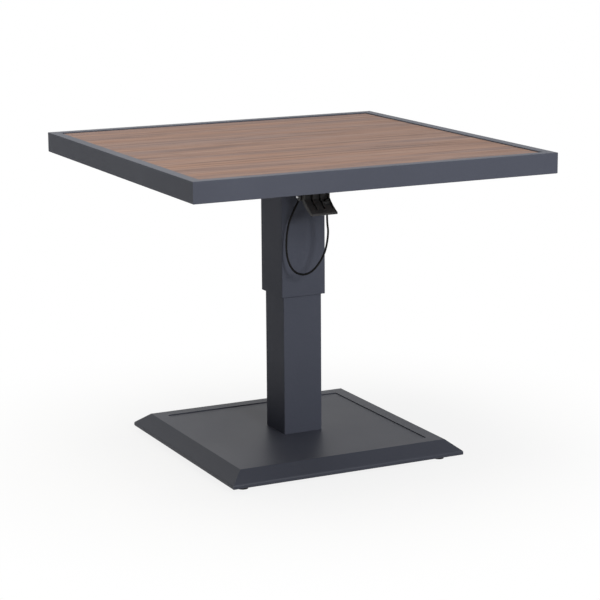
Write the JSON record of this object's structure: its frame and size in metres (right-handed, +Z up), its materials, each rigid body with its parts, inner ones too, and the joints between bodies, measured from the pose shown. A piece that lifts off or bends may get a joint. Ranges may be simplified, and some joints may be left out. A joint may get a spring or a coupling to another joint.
{
  "type": "telescoping pedestal table",
  "caption": "Square pedestal table on a bevelled base, with a sleeve that slides over the column and a hand lever and cable that unlock its gas spring for height adjustment",
  "frame": {"origin": "on the floor under the column axis, at the middle of the table", "axes": "+Z up, -Y to the front where the hand lever is, +X to the right as seen from the front"},
  "size_m": [0.9, 0.9, 0.745],
  "materials": {
    "charcoal_frame": "charcoal powder coat, fine texture, matt",
    "charcoal_steel": "charcoal powder coat, fine texture, matt",
    "black_steel": "black coated steel",
    "die_cast": "raw die-cast",
    "wood_grain": "weathered brown-grey wood grain, satin",
    "black_plastic": "moulded, satin",
    "cable_jacket": "extruded jacket, satin",
    "black_rubber": "moulded, matt",
    "zinc_steel": "zinc plated",
    "bright_rod": "ground and chromed"
  },
  "bodies": {
    "base": {"base_rail_front": "charcoal_frame", "base_rail_right": "charcoal_frame", "base_rail_back": "charcoal_frame", "base_rail_left": "charcoal_frame", "base_corner_keys": "die_cast", "base_plate": "charcoal_steel", "base_plate_screws": "zinc_steel", "ballast_plate": "charcoal_steel", "column_foot_plate": "charcoal_steel", "column_bolts": "zinc_steel", "inner_column": "charcoal_frame", "upper_guide": "black_plastic", "gas_spring_cylinder": "black_steel", "gas_spring_gland": "black_plastic"},
    "top": {"top_rail_front": "charcoal_frame", "top_rail_right": "charcoal_frame", "top_rail_back": "charcoal_frame", "top_rail_left": "charcoal_frame", "outer_sleeve": "charcoal_frame", "cross_brace_front": "charcoal_frame", "cross_brace_back": "charcoal_frame", "mounting_plate": "charcoal_steel", "lever_bracket": "black_steel", "rocker_bracket": "black_steel", "top_corner_keys": "die_cast", "top_panel": "wood_grain", "lower_guide": "black_plastic", "gas_spring_piston": "black_plastic", "release_cable": "cable_jacket", "panel_pads": "black_rubber", "brace_inserts": "zinc_steel", "mounting_bolts": "zinc_steel", "rod_nuts": "zinc_steel", "rocker_screws": "zinc_steel", "rocker_pin": "zinc_steel", "cable_adjuster": "zinc_steel", "adjuster_nut": "zinc_steel", "bracket_screws": "zinc_steel", "lever_pin": "zinc_steel", "lever_pin_clip": "zinc_steel", "cable_ferrule": "zinc_steel", "gas_spring_rod": "bright_rod"},
    "lever": {"hand_lever": "black_plastic"},
    "lever_wire_end": {"lever_wire": "black_steel"},
    "rocker": {"release_rocker": "black_steel"},
    "rocker_wire_end": {"rocker_wire": "black_steel"},
    "pin": {"release_pin": "zinc_steel"},
    "foot_front_right": {"foot_pad_front_right": "black_rubber"},
    "stem_front_right": {"foot_stem_front_right": "zinc_steel"},
    "foot_back_right": {"foot_pad_back_right": "black_rubber"},
    "stem_back_right": {"foot_stem_back_right": "zinc_steel"},
    "foot_back_left": {"foot_pad_back_left": "black_rubber"},
    "stem_back_left": {"foot_stem_back_left": "zinc_steel"},
    "foot_front_left": {"foot_pad_front_left": "black_rubber"},
    "stem_front_left": {"foot_stem_front_left": "zinc_steel"}
  },
  "joints": [
    {"name": "height", "type": "slide", "parent": "base", "child": "top", "axis": [0, 0, 1], "range_m": [-0.2, 0]},
    {"name": "lever_pull", "type": "hinge", "parent": "top", "child": "lever", "pos_m": [0, -0.107, 0.632], "axis": [-1, 0, 0], "range_deg": [0, 24], "stiffness_Nm_per_rad": 1.5, "springref_deg": -45.84},
    {"name": "lever_wire_draw", "type": "slide", "parent": "top", "child": "lever_wire_end", "axis": [0, 0, 1], "range_m": [0, 0.00988]},
    {"name": "rocker_tilt", "type": "hinge", "parent": "top", "child": "rocker", "pos_m": [0, 0.022, 0.71855], "axis": [1, 0, 0], "range_deg": [0, 6.02]},
    {"name": "rocker_wire_draw", "type": "slide", "parent": "top", "child": "rocker_wire_end", "axis": [0, 0, -1], "range_m": [0, 0.00988]},
    {"name": "pin_press", "type": "slide", "parent": "top", "child": "pin", "axis": [0, 0, -1], "range_m": [0, 0.00234]},
    {"name": "level_front_right", "type": "slide", "parent": "base", "child": "foot_front_right", "axis": [0, 0, -1], "range_m": [0, 0.01]},
    {"name": "screw_front_right", "type": "hinge", "parent": "foot_front_right", "child": "stem_front_right", "pos_m": [0.257, -0.257, 0.02], "axis": [0, 0, -1], "range_deg": [0, 2880.5]},
    {"name": "level_back_right", "type": "slide", "parent": "base", "child": "foot_back_right", "axis": [0, 0, -1], "range_m": [0, 0.01]},
    {"name": "screw_back_right", "type": "hinge", "parent": "foot_back_right", "child": "stem_back_right", "pos_m": [0.257, 0.257, 0.02], "axis": [0, 0, -1], "range_deg": [0, 2880.5]},
    {"name": "level_back_left", "type": "slide", "parent": "base", "child": "foot_back_left", "axis": [0, 0, -1], "range_m": [0, 0.01]},
    {"name": "screw_back_left", "type": "hinge", "parent": "foot_back_left", "child": "stem_back_left", "pos_m": [-0.257, 0.257, 0.02], "axis": [0, 0, -1], "range_deg": [0, 2880.5]},
    {"name": "level_front_left", "type": "slide", "parent": "base", "child": "foot_front_left", "axis": [0, 0, -1], "range_m": [0, 0.01]},
    {"name": "screw_front_left", "type": "hinge", "parent": "foot_front_left", "child": "stem_front_left", "pos_m": [-0.257, -0.257, 0.02], "axis": [0, 0, -1], "range_deg": [0, 2880.5]}
  ],
  "couplings": [
    {"joint": "lever_pull", "follows": "lever_wire_draw", "rad_per_m": 42.392},
    {"joint": "rocker_wire_draw", "follows": "lever_wire_draw", "ratio": 1},
    {"joint": "rocker_tilt", "follows": "lever_wire_draw", "rad_per_m": 10.632},
    {"joint": "pin_press", "follows": "lever_wire_draw", "ratio": 0.23729},
    {"joint": "screw_front_right", "follows": "level_front_right", "rad_per_m": 5026.5},
    {"joint": "screw_back_right", "follows": "level_back_right", "rad_per_m": 5026.5},
    {"joint": "screw_back_left", "follows": "level_back_left", "rad_per_m": 5026.5},
    {"joint": "screw_front_left", "follows": "level_front_left", "rad_per_m": 5026.5}
  ]
}
